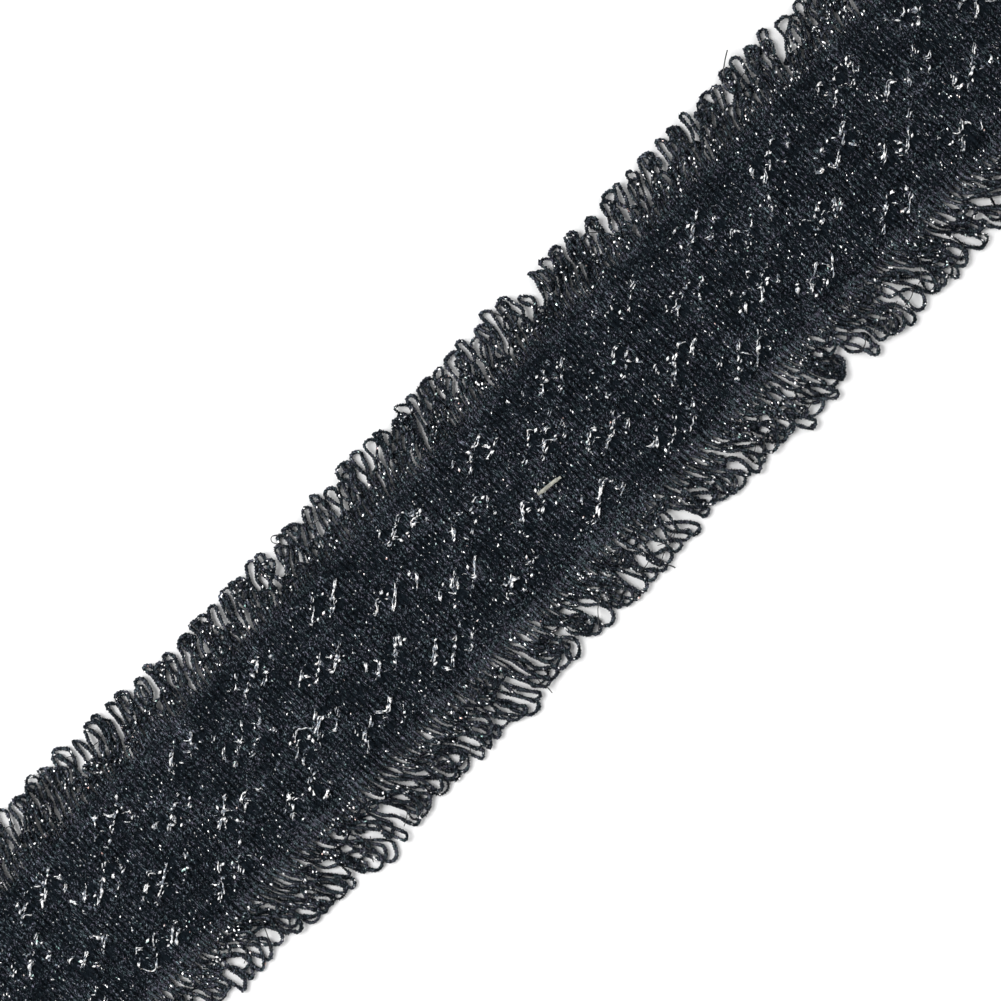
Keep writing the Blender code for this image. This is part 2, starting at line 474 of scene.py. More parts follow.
def twisted_black_viscose(tree, colours):
    """The yarn laid tight in the ribs, where its film slants or runs in long streaks."""
    return twisted_yarn(tree, colours, RIB_SLANT, RIB_STRETCH)


def twisted_black_viscose_loops(tree, colours):
    """The same yarn in free loops, where its film runs along it in shorter streaks."""
    return twisted_yarn(tree, colours, 0.0, LOOP_STRETCH)


def metallised_silver_film(tree, colours):
    """Flat polyester film, vacuum-metallised with aluminium: bright and finely crinkled.

    Its crinkles are too fine to model, so a part of its light is scattered as by a matt
    surface and the rest is mirrored.
    """
    where = add_node(tree, "TexCoord", "Object")
    fine = {"Vector": where, "Scale": 1 / (0.5 * MM), "Detail": 2.0, "Roughness": 0.6}
    crinkle = add_node(tree, "TexNoise", "Fac", fine)
    dulled = {"Value": crinkle, "To Min": 0.16, "To Max": 0.42}
    relief = {"Strength": 0.6, "Distance": 0.08 * MM, "Height": crinkle}
    colour = mottled_colour(
        tree,
        0.62 * MM,
        1.0,
        (0.42, colours.silver_dull),
        (0.54, colours.silver_bright),
        (0.68, colours.silver_bright),
        (0.74, colours.silver_warm),
    )
    return {
        "Base Color": colour,
        "Metallic": 0.5,
        "Roughness": add_node(tree, "MapRange", "Result", dulled),
        "Normal": add_node(tree, "Bump", "Normal", relief),
    }


def metallised_film_fleck(tree, colours):
    """Slivers of metallised film that surface from the black yarn, silver with a few tints."""
    colour = mottled_colour(
        tree,
        1.1 * MM,
        1.0,
        (0.30, colours.fleck_green),
        (0.38, colours.silver_bright),
        (0.64, colours.silver_bright),
        (0.74, colours.fleck_pink),
    )
    return {"Base Color": colour, "Metallic": 0.5, "Roughness": 0.22}


def black_nylon_filament(tree, colours):
    """Fine black nylon filament, drawn smooth and so slightly glossy."""
    stops = ((0.3, colours.yarn_dark), (0.8, colours.yarn_mid))
    return {"Base Color": mottled_colour(tree, 2.0 * MM, 1.0, *stops), "Roughness": 0.35}


def pale_polyester_film_back(tree, colours):
    """The unmetallised polyester back of the silver film: pale, matt, faintly streaked."""
    stops = ((0.3, colours.pale_dark), (0.7, colours.pale_light))
    return {"Base Color": mottled_colour(tree, 0.6 * MM, 2.0, *stops), "Roughness": 0.6}


def matt_white_card(tree, colours):
    """Matt white card, with a grain that hardly shows."""
    stops = ((0.3, colours.floor_grain), (0.7, colours.floor))
    return {"Base Color": mottled_colour(tree, 4.0 * MM, 3.0, *stops), "Roughness": 0.9}


def colour_property(label, use, text):
    return bpy.props.FloatVectorProperty(
        name=label,
        description=use,
        subtype="COLOR",
        size=4,
        min=0.0,
        max=1.0,
        default=hex_colour(text),
    )


def size_property(label, use, millimetres):
    return bpy.props.FloatProperty(
        name=label,
        description=use,
        unit="LENGTH",
        precision=5,
        min=0.0,
        default=millimetres * MM,
    )


class BraidTrimColours(bpy.types.PropertyGroup):
    """Colours of the yarns, films and floor."""

    yarn_dark: colour_property("Yarn, dark", "The yarn in its shaded parts", "#020304")
    yarn_mid: colour_property("Yarn", "The yarn's usual colour", "#10161B")
    yarn_film: colour_property("Yarn film", "The gunmetal film in the yarn", "#747B86")
    film_violet: colour_property("Film, violet", "The film where it turns violet", "#6C6A79")
    film_green: colour_property("Film, green", "The film where it turns green", "#607175")
    silver_bright: colour_property("Silver", "The silver film", "#FFFFFF")
    silver_dull: colour_property("Silver, dull", "The silver film where it is worn", "#7F868F")
    silver_warm: colour_property("Silver, warm", "The silver film's warm tint", "#C6BBB4")
    fleck_green: colour_property("Fleck, green", "The greenish flecks", "#A9D3CB")
    fleck_pink: colour_property("Fleck, pink", "The pinkish flecks", "#E6BDB3")
    pale_dark: colour_property("Film back, dark", "The film's pale back in shade", "#6E6E66")
    pale_light: colour_property("Film back", "The film's pale back", "#B0AFA3")
    floor: colour_property("Floor", "The floor", "#F4F4F4")
    floor_grain: colour_property("Floor grain", "The floor's faint grain", "#EFEFEF")
    tent: colour_property("Tent", "The light tent's cloth", "#FFFFFF")
    tent_opening: colour_property("Tent opening", "The room seen over the tent", "#3A3B3D")


class BraidTrimSizes(bpy.types.PropertyGroup):
    """Real sizes of the yarns and threads."""

    rib_yarn: size_property("Rib yarn", "Thickness of the yarn across the band", 1.08)
    rib_twist: size_property("Rib twist", "Length of one turn of the rib yarn's twist", 1.25)
    loop_yarn: size_property("Loop yarn", "Thickness of the yarn in the fringe", 0.74)
    loop_twist: size_property("Loop twist", "Length of one turn of the fringe yarn's twist", 0.95)
    silver_width: size_property("Silver width", "Width of the silver film", 0.22)
    silver_thickness: size_property("Silver thickness", "Thickness of the silver film", 0.10)
    knot_length: size_property("Silver knot", "Length of the silver bits between ribs", 0.88)
    fleck_length: size_property("Fleck length", "Length of the film flecks", 0.38)
    loop_fleck_length: size_property("Fringe fleck", "Length of the flecks in the fringe", 0.46)
    hair: size_property("Filament", "Thickness of the crossing filaments", 0.14)
    rib_flecks: bpy.props.IntProperty(
        name="Flecks on the band", description="How many flecks lie on the ribs", default=2100
    )
    loop_flecks: bpy.props.IntProperty(
        name="Flecks of a loop set", description="How many flecks lie on each set", default=800
    )


MOTIF_HALF_LENGTH = 4.8 * MM
# Spread of the motifs' differences, in place, turn and size
MOTIF_STRAY = 0.22 * MM
MOTIF_TURN = math.radians(2.0)
MOTIF_GROWTH = 0.06


def motif_places():
    """Centre, turn and size of each motif, with the small differences between them."""
    draw = np.random.default_rng(7)
    places = []
    for row in MOTIF_ROWS:
        first = math.ceil((-LENGTH / 2 - row["along"] + MOTIF_PERIOD / 4) / MOTIF_PERIOD)
        last = math.floor((LENGTH / 2 - row["along"] - MOTIF_PERIOD / 4) / MOTIF_PERIOD)
        for number in range(first, last + 1):
            stray = draw.normal(0.0, MOTIF_STRAY, 2)
            places.append(
                {
                    "x": row["along"] + number * MOTIF_PERIOD + stray[0],
                    "y": row["across"] + stray[1],
                    "turn": draw.normal(0.0, MOTIF_TURN),
                    "size": draw.normal(1.0, MOTIF_GROWTH),
                }
            )
    return places


def gap_places():
    """The middles of the stretches between the motifs of each row."""
    spots = []
    for row in MOTIF_ROWS:
        first = math.floor((-LENGTH / 2 - row["along"]) / MOTIF_PERIOD)
        last = math.ceil((LENGTH / 2 - row["along"]) / MOTIF_PERIOD)
        for number in range(first, last + 1):
            spots.append({"x": row["along"] + (number + 0.5) * MOTIF_PERIOD, "y": row["across"]})
    return spots


# Places across a motif of its silver threads
SILVER_THREADS = (1.35 * MM, 0.1 * MM, -1.3 * MM)
SILVER_SWING = 0.85 * MM
SILVER_WAVE = 4.4 * MM
# Share of a wave that each thread is ahead of the one beside it
SILVER_STEP = 0.35
# Share of each wave in which a thread climbs slowly; it drops back in the rest
SILVER_CLIMB = 0.62
# Spread of the threads' start in their wave and of their place across the motif, and least
# and most of their reach, wave length and swing as shares of the usual
SILVER_START_SPREAD = 0.1
SILVER_STRAY = 0.15 * MM
SILVER_REACHES = (0.75, 1.05)
SILVER_WAVES = (0.85, 1.2)
SILVER_SWINGS = (0.7, 1.25)


def turned_into_place(spot, x, y, z):
    """Points of one motif's thread, turned and moved to where that motif is."""
    c, s = math.cos(spot["turn"]), math.sin(spot["turn"])
    height = np.broadcast_to(z, x.shape)
    return np.stack([spot["x"] + c * x - s * y, spot["y"] + s * x + c * y, height], axis=-1)


def motif_threads():
    """The silver threads of each motif: where they lie in it, their waves and their reach."""
    draw = np.random.default_rng(31)
    threads = []
    for spot in motif_places():
        phase = draw.random()
        for across in SILVER_THREADS:
            phase = phase + draw.normal(SILVER_STEP, SILVER_START_SPREAD)
            threads.append(
                {
                    "spot": spot,
                    "across": across * spot["size"] + draw.normal(0.0, SILVER_STRAY),
                    "half": MOTIF_HALF_LENGTH * spot["size"] * draw.uniform(*SILVER_REACHES),
                    "wave": SILVER_WAVE * draw.uniform(*SILVER_WAVES),
                    "phase": phase % 1.0,
                    "swing": SILVER_SWING * draw.uniform(*SILVER_SWINGS),
                }
            )
    return threads


# Numbers of the waves that are looked through for cells, more than a motif has room for
WAVE_NUMBERS = np.arange(-4, 5)
# A dark cell lies this far back from the top of its arch and below the thread's middle
CELL_BACK = 0.35 * MM
CELL_UNDER = 0.30 * MM
# Share of a thread's reach in which its arches have a dark cell
CELLS_WITHIN = 0.85


def cell_places():
    """The middles of the dark cells of the motifs, each under an arch of a silver thread."""
    spots = []
    for thread in motif_threads():
        x = (WAVE_NUMBERS + SILVER_CLIMB - thread["phase"]) * thread["wave"]
        x = x[np.abs(x) < CELLS_WITHIN * thread["half"]] - CELL_BACK
        for point in turned_into_place(thread["spot"], x, thread["across"] - CELL_UNDER, 0.0):
            spots.append({"x": point[0], "y": point[1]})
    return spots


# The soft ovals of the band: the mounds of its motifs, the hollows between them and the
# dark cells in them. Half their length and width, how far their yarns rise, and what they
# add to the share of film that the yarn shows
OVALS = {
    "mound": {"places": motif_places, "half": (4.9 * MM, 2.3 * MM), "rise": 0.08 * MM, "film": 0.2},
    "hollow": {"places": gap_places, "half": (4.0 * MM, 2.1 * MM), "rise": -0.14 * MM, "film": -0.3},
    "cell": {"places": cell_places, "half": (1.15 * MM, 0.6 * MM), "rise": -0.14 * MM, "film": -1.4},
}
# An oval fades out at the first level, over the width that follows. The level is a sum of
# cubes that is 1 at half its length and at half its width
OVAL_END = 1.9
OVAL_FADE = 1.6
# Width of the strip along each edge of the band in which the yarn shows more of its film
EDGE_STRIP = 2.5 * MM
# What the other places add to the share of film
FILM_AT_LOWER_EDGE = 0.6
FILM_PAST_LOWER_EDGE = -0.45
FILM_AT_UPPER_EDGE = 0.05
# Film added on the crowns of the ribs and taken away between them, the more near the lower edge:
# painted light on the crowns and painted shade in the valleys between the ribs
PAINTED_LIGHT_ON_CROWNS = 0.2
PAINTED_LIGHT_ON_LOWER_CROWNS = 0.3


def oval_share(kind, x, y):
    """How far into the nearest oval of a kind each point is, from 0 to 1."""
    long, wide = OVALS[kind]["half"]
    share = np.zeros(np.broadcast(x, y).shape)
    for spot in OVALS[kind]["places"]():
        away = np.abs((x - spot["x"]) / long) ** 3 + np.abs((y - spot["y"]) / wide) ** 3
        share = np.maximum(share, smoothstep((OVAL_END - away) / OVAL_FADE))
    return share


def edge_shares(x, y):
    """Nearness to the lower and the upper edge, from 0 inside the band to 1 at it and past it."""
    inside = (y + outline("lower_edge", x), outline("upper_edge", x) - y)
    return [smoothstep(1.0 - depth / EDGE_STRIP) for depth in inside]


def film_shares(x, y):
    """How much film the yarn shows at each point, and how straight that film runs.

    It shows least in the dark cells of the motifs and most at the band's lower edge. It shows
    more on the crowns of the ribs than between them, which is painted light on the crowns and
    painted shade in the valleys between the ribs.
    """
    near = {kind: oval_share(kind, x, y) for kind in OVALS}
    lower, upper = edge_shares(x, y)
    past = smoothstep((-y - outline("lower_edge", x)) / EDGE_STRIP)
    # Painted light on the crowns of the ribs and painted shade in the valleys between them
    painted_crown_light = (1 - past) * np.cos(TURN * ((x + LENGTH / 2) / RIB_PITCH - 0.5))
    share = (FILM_AT_LOWER_EDGE + FILM_PAST_LOWER_EDGE * past) * lower + FILM_AT_UPPER_EDGE * upper
    for kind, oval in OVALS.items():
        share = share + oval["film"] * near[kind]
    share = share + (PAINTED_LIGHT_ON_CROWNS + PAINTED_LIGHT_ON_LOWER_CROWNS * lower) * painted_crown_light
    return share, np.maximum.reduce([near["mound"], near["hollow"], lower, upper])


RIB_RINGS = 132
RIB_PIECES = 3
# Share by which the yarn is drawn tighter where it turns into the loops
RIB_TIGHTER = 0.24


def rib_centres():
    """Centre lines of the rib yarns, from the lower to the upper edge."""
    draw = np.random.default_rng(3)
    x = rib_x(np.arange(RIB_COUNT) + 0.5)[:, None]
    share = np.linspace(0.0, 1.0, RIB_RINGS)[None, :]
    low, high = -outline("lower_edge", x), outline("upper_edge", x)
    y = low + (high - low) * share
    across = x + drift(draw, "rib_across", RIB_COUNT, RIB_RINGS)
    height = RIB_HEIGHT + drift(draw, "rib_height", RIB_COUNT, RIB_RINGS)
    for kind, oval in OVALS.items():
        height = height + oval["rise"] * oval_share(kind, x, y)
    return np.stack([np.broadcast_to(across, y.shape), y, height], axis=-1)


class BRAID_TRIM_OT_rib_yarns(bpy.types.Operator):
    """Lay the twisted weft yarn across the band"""

    bl_idname = "braid_trim.rib_yarns"
    bl_label = "Rib Yarns"

    def execute(self, context):
        sizes = context.scene.braid_trim_sizes
        draw = np.random.default_rng(5)
        for number, block in enumerate(np.array_split(rib_centres(), RIB_PIECES), 1):
            edges = np.maximum(*edge_shares(block[..., 0], block[..., 1]))
            thickness = sizes.rib_yarn * (1 - RIB_TIGHTER * edges)
            rings, _ = twisted_yarns(block, draw, thickness, sizes.rib_twist)
            bundle = Bundle()
            bundle.add_tubes(rings)
            name = f"rib_yarns_{number}"
            bundle.make_piece(name, "band_yarn", twisted_black_viscose, banded=True)
        return {"FINISHED"}


# The loops of a fringe: the outer ones make its outline, and shorter ones fill in between.
# Each set has its first rib, its rings, its share of tucked loops, the least and most reach
# of its tucked and its other loops, and whether it can gather in arches
LOOP_SETS = {
    "outer": {
        "first": 1, "rings": 140, "tucked": 0.15, "short": (0.66, 0.86), "full": (0.92, 1.02),
        "can_arch": True,
    },
    "inner": {
        "first": 2.5, "rings": 96, "tucked": 0.5, "short": (0.24, 0.46), "full": (0.72, 0.95),
        "can_arch": False,
    },
}
# Where loops gather in arches, every third one lies inside the arch of the one before it.
# For each three in turn: how far a head is pulled along the trim, and its width and its
# loop's length as shares of the usual
ARCH_PULL = np.array((0.46, -1.20, -0.46)) * MM
ARCH_WIDTH = np.array((1.15, 0.65, 0.88))
ARCH_LENGTH = np.array((1.00, 0.91, 0.98))
# How far in from the edge a yarn comes out of its rib, how far out it has left it, and how
# far past the edge the loops' own directions start
FOOT_IN = 1.2 * MM
FOOT_OUT = 0.1 * MM
LOOP_ORIGIN = 1.35 * MM
# How far short of the fringe's reach the yarn's centre line stays
TIP_SHORT = 0.42 * MM
# Neighbouring loops drift together in lean and length, and each has a lean and bend besides
LEAN_DRIFT = math.radians(3.0)
LENGTH_DRIFT = 0.035
LEAN_SPREAD = math.radians(4.0)
BEND_SPREAD = 0.45 * MM
# Every other loop lies in the upper layer, apart from a few that change places, and droops
# at its head. The legs of a crossed loop are this far apart in height
LOWER_LAYER = 0.45 * MM
UPPER_LAYER = 1.00 * MM
LAYER_SPREAD = 0.15 * MM
CHANGED_PLACES = 0.2
DROOPS = (0.1 * MM, 0.5 * MM)
LEG_APART = 0.45 * MM
# Shares of a loop's length at its neck, where its legs cross or part, and at its belly
NECK_AT = 0.16
PARTING_AT = 0.42
BELLY_AT = 0.64
# A head is round: halfway round it a leg is this share of the head's half width out
HEAD_ROUND = 0.71


def loop_controls(plan, word, kind, draw):
    """Points that each loop of the fringe follows, from one rib out to its head and back."""
    side = plan["side"]
    middle = rib_x(np.arange(kind["first"], RIB_COUNT, RIBS_PER_LOOP))
    count = len(middle)
    edge = outline(word + "_edge", middle)
    reach = outline(word + "_tips", middle) - edge - LOOP_ORIGIN - TIP_SHORT + plan["farther"]

    lean_drift, length_drift, bunch_drift = drift(draw, "loop_to_loop", 3, count)
    lean = plan["lean"] + LEAN_DRIFT * lean_drift + draw.normal(0, LEAN_SPREAD, count)
    tucked = draw.random(count) < kind["tucked"]
    short, full = draw.uniform(*kind["short"], count), draw.uniform(*kind["full"], count)
    share = np.where(tucked, short, full)
    length = reach / math.cos(plan["lean"]) * share * (1 + LENGTH_DRIFT * length_drift)
    neck = RIB_PITCH / 2 * math.cos(plan["lean"])
    belly = draw.uniform(*plan["belly"], count)
    head = draw.uniform(*plan["head"], count)
    bend = draw.normal(0.0, BEND_SPREAD, count) + plan["curl"] * length
    bunch = plan["bunch"] * bunch_drift
    if plan["arches"] and kind["can_arch"]:
        turn = np.arange(count) % len(ARCH_PULL)
        bend = bend + ARCH_PULL[turn]
        head = head * ARCH_WIDTH[turn]
        length = length * ARCH_LENGTH[turn]
    crossed = draw.random(count) < plan["crossed"]
    upper = (np.arange(count) % 2 == 1) ^ (draw.random(count) < CHANGED_PLACES)
    layer = np.where(upper, UPPER_LAYER, LOWER_LAYER) + draw.uniform(0.0, LAYER_SPREAD, count)
    droop = np.where(upper & ~tucked, draw.uniform(*DROOPS, count), 0.0)

    def out(across, outward, height):
        """A point in the loop's own directions, moved to the trim's."""
        share = outward / length
        across = across + bend * share**2 + bunch * np.sin(math.pi * share**2)
        x = middle + across * np.cos(lean) + outward * np.sin(lean)
        y = edge + LOOP_ORIGIN + outward * np.cos(lean) - across * np.sin(lean)
        return np.stack([x, side * y, height], axis=-1)

    def leg(sign):
        """One leg of each loop, from its rib to beside the tip."""
        beyond = np.where(crossed, -sign, sign)
        over = np.where(crossed & (sign > 0), LEG_APART, 0.0)
        foot_x = middle + sign * RIB_PITCH / 2
        rib = np.full(count, RIB_HEIGHT)
        stray = draw.normal(0.0, plan["stray"], (3, count))
        parting = np.where(crossed, sign * neck * 0.5, sign * (neck + belly) / 2)
        halfway = length - head * (1 - HEAD_ROUND)
        return [
            np.stack([foot_x, side * (edge - FOOT_IN), rib], axis=-1),
            np.stack([foot_x, side * (edge + FOOT_OUT), rib], axis=-1),
            out(sign * neck + stray[0], NECK_AT * length, (layer + rib) / 2),
            out(parting + stray[1], PARTING_AT * length, layer + over),
            out(beyond * belly + stray[2], BELLY_AT * length, layer + over / 2 - droop / 2),
            out(beyond * head, length - head, layer - droop),
            out(beyond * head * HEAD_ROUND, halfway, layer - droop),
        ]

    tip = [out(np.zeros(count), length, layer - droop)]
    return np.stack(leg(-1) + tip + leg(1)[::-1], axis=1)


# Points between two that a path goes through, from which even ones are then taken
PATH_STEPS = 14


def smooth_path(points, rings):
    """Centre lines through each row of points, sampled evenly along their length."""
    padded = np.concatenate([points[:, :1], points, points[:, -1:]], axis=1)
    before, start, end, after = padded[:, :-3], padded[:, 1:-2], padded[:, 2:-1], padded[:, 3:]
    first = end - before
    second = 2 * before - 5 * start + 4 * end - after
    third = 3 * start - before - 3 * end + after
    steps = np.arange(PATH_STEPS) / PATH_STEPS
    spans = [0.5 * (2 * start + first * t + second * t**2 + third * t**3) for t in steps]
    dense = np.stack(spans, axis=2).reshape(len(points), -1, 3)
    dense = np.concatenate([dense, points[:, -1:]], axis=1)
    even = []
    for line, length in zip(dense, lengths_so_far(dense)):
        stops = np.linspace(0.0, length[-1], rings)
        even.append(np.stack([np.interp(stops, length, axis) for axis in line.T], axis=-1))
    return np.array(even)


def fringe_centres(word):
    """Centre lines of the yarn in one fringe, for each of its sets of loops."""
    plan = FRINGES[word]
    draw = np.random.default_rng(plan["seed"])
    sets = {}
    for name, kind in LOOP_SETS.items():
        centres = smooth_path(loop_controls(plan, word, kind, draw), kind["rings"])
        for axis in (0, 1):
            centres[..., axis] += drift(draw, "loop", len(centres), kind["rings"])
        sets[name] = centres
    return sets


# How a loop's yarn thickens from its feet to its head: the head's share at the tip before it
# is cut off at 1, and how much less it is at the feet
HEAD_SHARE = 1.3
HEAD_FALL = 1.6


class BRAID_TRIM_OT_loop_fringes(bpy.types.Operator):
    """Turn the weft yarn in free loops past both edges"""

    bl_idname = "braid_trim.loop_fringes"
    bl_label = "Loop Fringes"

    def execute(self, context):
        sizes = context.scene.braid_trim_sizes
        for word, plan in FRINGES.items():
            draw = np.random.default_rng(plan["seed"] + 1)
            foot, head = plan["yarn"]
            for name, loops in fringe_centres(word).items():
                from_tip = np.abs(np.linspace(-1.0, 1.0, loops.shape[1]))
                share = smoothstep(HEAD_SHARE - HEAD_FALL * from_tip)
                thickness = sizes.loop_yarn * (foot + (head - foot) * share)
                bundle = Bundle()
                bundle.add_tubes(*twisted_yarns(loops, draw, thickness, sizes.loop_twist))
                name = f"{name}_loops_{word}"
                surface = twisted_black_viscose_loops
                piece = bundle.make_piece(name, "loop_yarn", surface, banded=True)
                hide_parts(FRINGE_NODE[word])
        return {"FINISHED"}


SILVER_RINGS = 56
# How bare a thread lies halfway up, and share of a wave to each side in which it shows
SILVER_BAREST = 0.85
SILVER_SHOWS = 0.44
# How much of that the yarn over it hides, and share of its reach in which its ends go under
SILVER_HIDDEN = 0.64
SILVER_ENDS = 0.10
# Share of a wave's roundness; the rest of it is straight
SILVER_ROUND = 0.75
# Distance between the two strips of film that make a thread
SILVER_APART = 0.34 * MM
# Length in which the flat film turns half way over, and least and most of its pace
SILVER_ROLL = 1.0 * MM
SILVER_PACES = (0.4, 1.1)
# Height of a silver thread where it is under the yarn, and where it is over it
SILVER_UNDER = 0.85 * MM
SILVER_OVER = 1.58 * MM


def climbing_wave(turns):
    """A rounded wave from -1 to 1 that climbs slowly and drops fast, and how bare it lies.

    A thread is barest halfway up, still shows where it turns, and drops back under the yarn.
    """
    place = np.mod(turns, 1.0)
    climbs = place < SILVER_CLIMB
    share = np.where(climbs, place / SILVER_CLIMB, (1 - place) / (1 - SILVER_CLIMB))
    away = np.abs(np.mod(place - SILVER_CLIMB / 2 + 0.5, 1.0) - 0.5)
    bare = SILVER_BAREST * (1 - np.minimum(away / SILVER_SHOWS, 1.0) ** 2)
    straight, rounded = 2 * share - 1, 2 * smoothstep(share) - 1
    return (1 - SILVER_ROUND) * straight + SILVER_ROUND * rounded, bare


class BRAID_TRIM_OT_silver_motifs(bpy.types.Operator):
    """Weave the silver film of the motifs over and under the ribs"""

    bl_idname = "braid_trim.silver_motifs"
    bl_label = "Silver Motifs"

    def execute(self, context):
        sizes = context.scene.braid_trim_sizes
        draw = np.random.default_rng(29)

        def along_one(kind):
            """Drift along one thread or strip."""
            return drift(draw, kind, 1, SILVER_RINGS)[0]

        strips = []
        share = np.linspace(-1.0, 1.0, SILVER_RINGS)
        ends = smoothstep((1.0 - np.abs(share)) / SILVER_ENDS)
        for thread in motif_threads():
            x = thread["half"] * share
            wave, bare = climbing_wave(x / thread["wave"] + thread["phase"])
            y = thread["across"] + thread["swing"] * wave + along_one("silver_across")
            bare = bare - SILVER_HIDDEN + along_one("silver_bare")
            # The film lies double, and its two strips part and meet again
            for side in (-0.5, 0.5):
                apart = side * SILVER_APART * (1 + along_one("silver_apart"))
                up = smoothstep(bare + along_one("silver_strip")) * ends
                z = SILVER_UNDER + (SILVER_OVER - SILVER_UNDER) * up
                strips.append(turned_into_place(thread["spot"], x, y + apart, z))
        strips = np.array(strips)
        count = len(strips)
        pace = draw.uniform(*SILVER_PACES, (count, 1))
        twist = TURN / 2 * lengths_so_far(strips) / SILVER_ROLL * pace
        roll = draw.uniform(0, TURN, (count, 1)) + twist
        roll = roll + drift(draw, "silver_roll", count, SILVER_RINGS)
        width = sizes.silver_width * np.exp(drift(draw, "silver_width", count, SILVER_RINGS))
        bundle = Bundle()
        bundle.add_tubes(flat_strips(strips, width, sizes.silver_thickness, roll))
        bundle.make_piece("silver_threads", "silver_thread", metallised_silver_film)
        return {"FINISHED"}


KNOTS_PER_MOTIF = 7
# How far out from a motif's middle its silver bits lie, along it and across, and how high
KNOTS_ALONG = 0.85 * MOTIF_HALF_LENGTH
KNOTS_ACROSS = 2.1 * MM
KNOT_HEIGHTS = (1.40 * MM, 1.56 * MM)
# Mean and spread of their angle to the trim, spread of their tilt, and least and most size
KNOT_SPIN = (0.4, 0.5)
KNOT_TILT = 0.25
KNOT_SIZES = (0.35, 1.05)
# Half their width and thickness as shares of their length, and how far into a dark cell
# they may lie
KNOT_HALF_WIDE = 0.27
KNOT_HALF_THIN = 0.2
KNOT_IN_CELL = 0.5


def add_knots(bundle, draw, length):
    """Adds the short bright bits of each motif that show between two ribs."""
    spots = [spot for spot in motif_places() for _ in range(KNOTS_PER_MOTIF)]
    count = len(spots)
    x = draw.uniform(-1.0, 1.0, count) * KNOTS_ALONG
    y = draw.uniform(-1.0, 1.0, count) * KNOTS_ACROSS
    height = draw.uniform(*KNOT_HEIGHTS, count)
    middles = np.array([turned_into_place(*item) for item in zip(spots, x, y, height)])
    spin = draw.normal(*KNOT_SPIN, count)
    tilt = draw.normal(0.0, KNOT_TILT, (2, count))
    flat = np.zeros(count)
    long_way = unit(np.stack([np.cos(spin), np.sin(spin), tilt[0]], axis=-1))
    wide_way = unit(np.cross(np.stack([tilt[1], flat, flat + 1], axis=-1), long_way))
    scale = length * draw.uniform(*KNOT_SIZES, (count, 1))
    thin_way = np.cross(long_way, wide_way) * scale * KNOT_HALF_THIN
    kept = oval_share("cell", middles[:, 0], middles[:, 1]) < KNOT_IN_CELL
    halves = (long_way * scale / 2, wide_way * scale * KNOT_HALF_WIDE, thin_way)
    bundle.add_slivers(middles[kept], *(half[kept] for half in halves))


# Places tried for each fleck, spread of its way round the yarn and of its tilt, and mean
# and spread of its angle to the yarn
FLECK_TRIES = 4
FLECK_ROUND = 0.5
FLECK_TILT = 0.36
FLECK_SPIN = (0.45, 0.35)
# Its distance from the yarn's centre line as a share of the yarn's thickness, the least of
# its sizes, the power that makes most of them small, and half its thickness as a share of
# its length
FLECK_OUT = 0.40
FLECK_LEAST = 0.3
FLECK_POWER = 1.5
FLECK_HALF_THIN = 0.10
# Half the width of a fleck as a share of its length, on the band and in the fringe
BAND_FLECK_WIDE = 0.22
LOOP_FLECK_WIDE = 0.30
# Where the loops have flecks of their own: how far out from the band's centre line and how
# high above the table
FLECKS_FROM = 15.0 * MM
FLECKS_ABOVE = 0.3 * MM


def scatter_flecks(bundle, draw, centres, thickness, count, length, wide_share, keep):
    """Puts slivers of film on the upper side of yarns, where keep(middles) allows."""
    yarn = draw.integers(0, len(centres), count * FLECK_TRIES)
    ring = draw.integers(1, centres.shape[1] - 1, count * FLECK_TRIES)
    middle = centres[yarn, ring]
    along = unit(centres[yarn, ring + 1] - centres[yarn, ring - 1])
    kept = np.flatnonzero(keep(middle))[:count]
    middle, along = middle[kept], along[kept]
    one_each = (len(kept), 1)
    sideways = unit(np.cross(along, UP))
    upward = np.cross(sideways, along)
    around = draw.normal(0.0, FLECK_ROUND, one_each)
    middle = middle + aimed(around, upward, sideways) * thickness * FLECK_OUT
    tilt = draw.normal(0.0, FLECK_TILT, one_each)
    face = aimed(tilt, upward, sideways)
    spin = draw.normal(*FLECK_SPIN, one_each)
    long_way = aimed(spin, along, np.cross(along, face))
    wide_way = np.cross(face, long_way)
    scale = FLECK_LEAST + draw.random(one_each) ** FLECK_POWER
    bundle.add_slivers(
        middle,
        long_way * length / 2 * scale,
        wide_way * length * wide_share * scale,
        face * length * FLECK_HALF_THIN,
    )


# Chance that a fleck comes up on the band: between the motif rows, how much more in a row
# and at the lower edge, and where a row ends across the band and over what width
CHANCE_BETWEEN = 0.12
CHANCE_IN_ROW = 0.88
CHANCE_AT_EDGE = 0.6
ROW_END = 3.0 * MM
ROW_FADE = 1.2 * MM


def out_in_the_loops(spots):
    """Whether each spot is past the band and off the table."""
    return (spots[:, 2] > FLECKS_ABOVE) & (np.abs(spots[:, 1]) > FLECKS_FROM)


def fleck_chance(spots):
    """Chance that a fleck comes up: the silver thread runs hidden between its motifs."""
    x, y = spots[:, 0], spots[:, 1]
    rows = np.array([row["across"] for row in MOTIF_ROWS])
    away = np.abs(y[:, None] - rows).min(axis=1)
    lower, _ = edge_shares(x, y)
    in_row = smoothstep((ROW_END - away) / ROW_FADE)
    chance = CHANCE_BETWEEN + CHANCE_IN_ROW * in_row + CHANCE_AT_EDGE * lower
    return chance * (1 - oval_share("mound", x, y))


